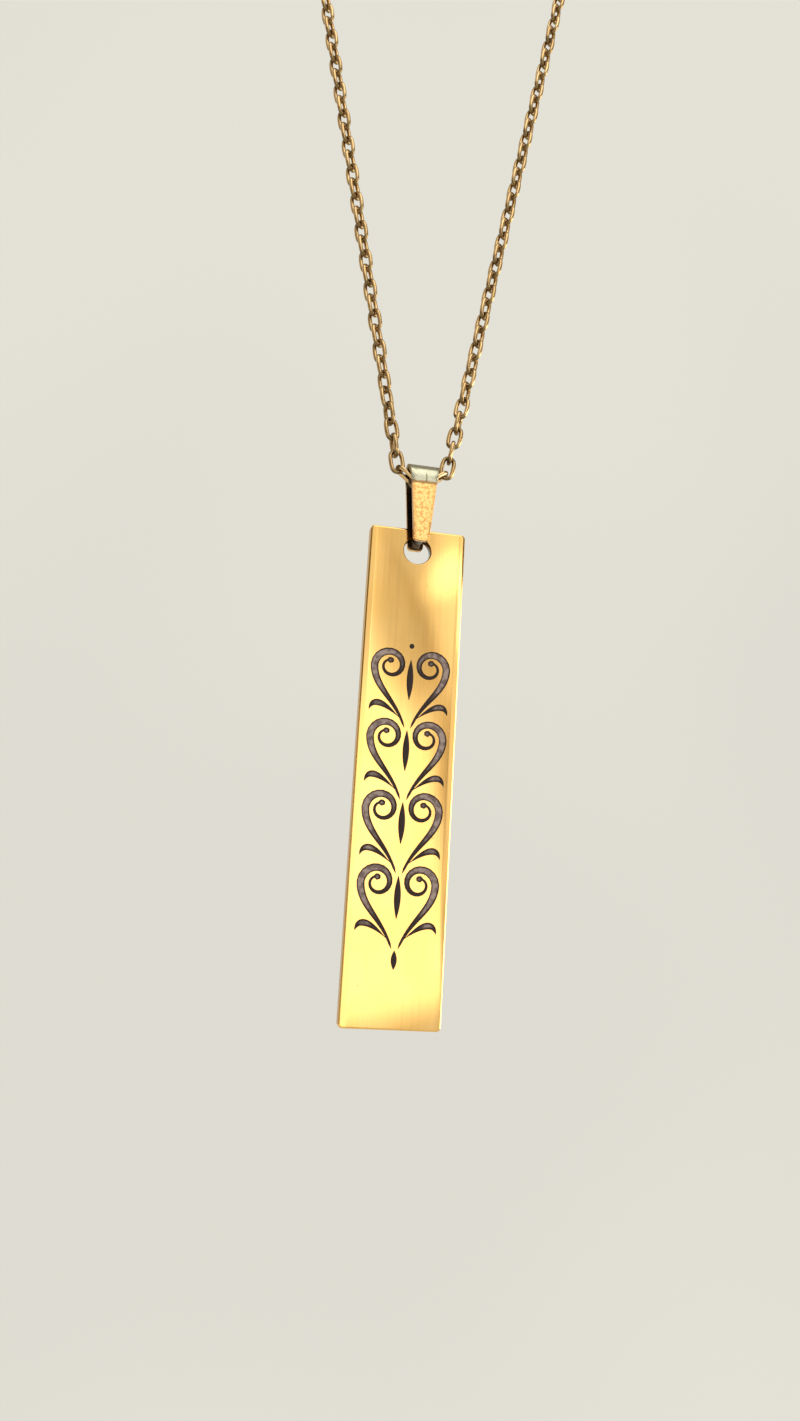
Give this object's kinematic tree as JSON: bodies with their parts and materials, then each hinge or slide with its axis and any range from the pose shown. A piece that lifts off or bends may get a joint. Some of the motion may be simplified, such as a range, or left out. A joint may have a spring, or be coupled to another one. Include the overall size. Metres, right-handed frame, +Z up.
{
  "type": "nameplate necklace",
  "caption": "Necklace with a flat vertical bar nameplate on a folded pinch bail, hung on a fine cable chain of oval links closed by a plain clasp at the nape",
  "frame": {"origin": "the nape, where the necklace hangs: the middle of the clasp at the top of the loop", "axes": "+Z up, +X to the right of the bar seen from the front, the front of the bar faces -Y"},
  "size_m": [0.0682, 0.0239, 0.2559],
  "materials": {
    "polished_gold": "mirror polish with faint lengthwise brushing",
    "bail_gold": "bright, slightly grainy polish",
    "chain_gold": "dull antique gold"
  },
  "bodies": {
    "chain": {"chain_left": "chain_gold", "chain_right": "chain_gold", "clasp": "bail_gold"},
    "bail": {"bail": "bail_gold"},
    "plate": {"plate": "polished_gold"}
  },
  "joints": [
    {"name": "bail_swing", "type": "hinge", "parent": "chain", "child": "bail", "pos_m": [0, -0.01985, -0.19896], "axis": [1, 0, 0], "range_deg": [-120, 120]},
    {"name": "plate_swing", "type": "hinge", "parent": "bail", "child": "plate", "pos_m": [0, -0.01985, -0.20531], "axis": [0, 1, 0], "range_deg": [-80, 80]}
  ]
}
